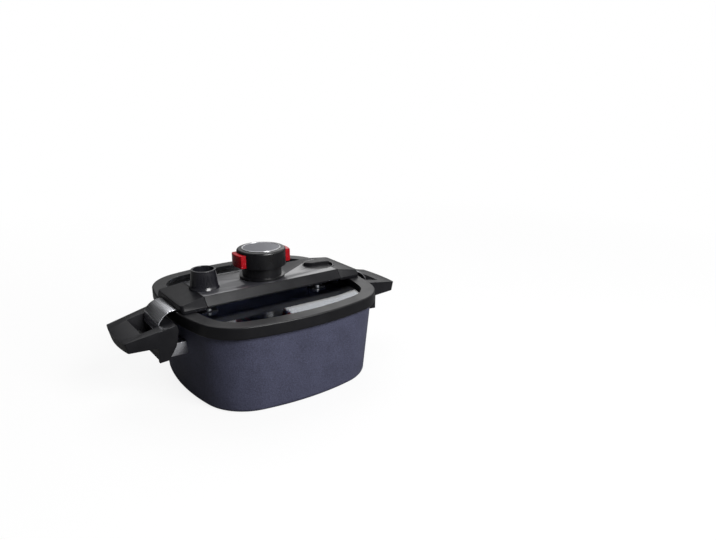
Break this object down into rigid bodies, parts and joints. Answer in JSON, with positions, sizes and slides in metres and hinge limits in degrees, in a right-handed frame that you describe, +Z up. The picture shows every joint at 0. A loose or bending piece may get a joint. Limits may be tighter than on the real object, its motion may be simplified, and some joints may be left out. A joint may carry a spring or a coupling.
{
  "type": "square casserole pan",
  "caption": "Square casserole pan with side handles and a glass lid whose turning knob works two side latches.",
  "frame": {"origin": "middle of the pot's underside, on the surface that the pan stands on", "axes": "+X through the right handle, +Y towards the back, +Z up"},
  "size_m": [0.3916, 0.26, 0.1666],
  "materials": {
    "pot_coating": "cast aluminium under a matt dark blue-grey non-stick coating",
    "black_plastic": "matt black heat-proof plastic",
    "gloss_black": "glossy black plastic",
    "ring_rubber": "satin black silicone",
    "clear_glass": "clear toughened glass",
    "steel": "satin stainless steel",
    "chrome": "polished chrome",
    "bridge_plastic": "satin dark grey plastic",
    "plate_lacquer": "glossy grey lacquer",
    "red_plastic": "glossy red plastic",
    "disc_aluminium": "grey anodised aluminium",
    "brass": "plain turned brass"
  },
  "bodies": {
    "pot": {"pot_body": "pot_coating", "induction_disc": "steel", "handle_left": "black_plastic", "handle_right": "black_plastic", "handle_sleeve_left": "steel", "handle_sleeve_right": "steel", "handle_lug_left": "pot_coating", "handle_lug_right": "pot_coating", "handle_screws": "steel"},
    "lid": {"lid_ring": "ring_rubber", "glass_panel": "clear_glass", "bridge_frame": "bridge_plastic", "bridge_plate": "plate_lacquer", "bridge_end_left": "bridge_plastic", "bridge_end_right": "bridge_plastic", "bridge_tray": "black_plastic", "foot_brackets": "steel", "foot_screws": "steel", "foot_nuts": "steel", "knob_collar": "black_plastic", "shaft_bush": "brass", "collar_screws": "steel", "vent_stub": "gloss_black", "vent_gasket": "ring_rubber", "vent_nut": "steel", "regulator_cup": "gloss_black", "regulator_pipe": "steel", "regulator_gasket": "ring_rubber", "regulator_nut": "steel"},
    "knob": {"knob_body": "black_plastic", "knob_disc": "disc_aluminium", "knob_trim_ring": "chrome", "knob_shaft": "steel", "knob_screw": "steel", "cam_disc": "black_plastic", "tab_spring_left": "steel", "tab_spring_right": "steel"},
    "tab_left": {"push_tab_left": "red_plastic"},
    "tab_right": {"push_tab_right": "red_plastic"},
    "latch_left": {"latch_slide_left": "black_plastic", "latch_strap_left": "steel", "latch_rivets_left": "steel"},
    "latch_right": {"latch_slide_right": "black_plastic", "latch_strap_right": "steel", "latch_rivets_right": "steel"},
    "regulator": {"regulator_dial": "bridge_plastic", "regulator_stem": "steel"}
  },
  "joints": [
    {"name": "lid_lift", "type": "slide", "parent": "pot", "child": "lid", "axis": [0, 0, 1], "range_m": [0, 0.12]},
    {"name": "knob_turn", "type": "hinge", "parent": "lid", "child": "knob", "pos_m": [0, 0, 0.1436], "axis": [0, 0, 1], "range_deg": [0, 60]},
    {"name": "latch_left_slide", "type": "slide", "parent": "lid", "child": "latch_left", "axis": [-1, 0, 0], "range_m": [0, 0.004]},
    {"name": "latch_right_slide", "type": "slide", "parent": "lid", "child": "latch_right", "axis": [1, 0, 0], "range_m": [0, 0.004]},
    {"name": "tab_left_push", "type": "slide", "parent": "knob", "child": "tab_left", "axis": [1, 0, 0], "range_m": [0, 0.004], "stiffness_N_per_m": 300, "springref_m": -0.003, "deforming": ["tab_spring_left"]},
    {"name": "tab_right_push", "type": "slide", "parent": "knob", "child": "tab_right", "axis": [-1, 0, 0], "range_m": [0, 0.004], "stiffness_N_per_m": 300, "springref_m": -0.003, "deforming": ["tab_spring_right"]},
    {"name": "regulator_turn", "type": "hinge", "parent": "lid", "child": "regulator", "pos_m": [0.086, 0, 0.1226], "axis": [0, 0, 1], "range_deg": [0, 90]}
  ],
  "couplings": [
    {"joint": "latch_left_slide", "follows": "knob_turn", "m_per_rad": 0.0038197},
    {"joint": "latch_right_slide", "follows": "knob_turn", "m_per_rad": 0.0038197}
  ]
}
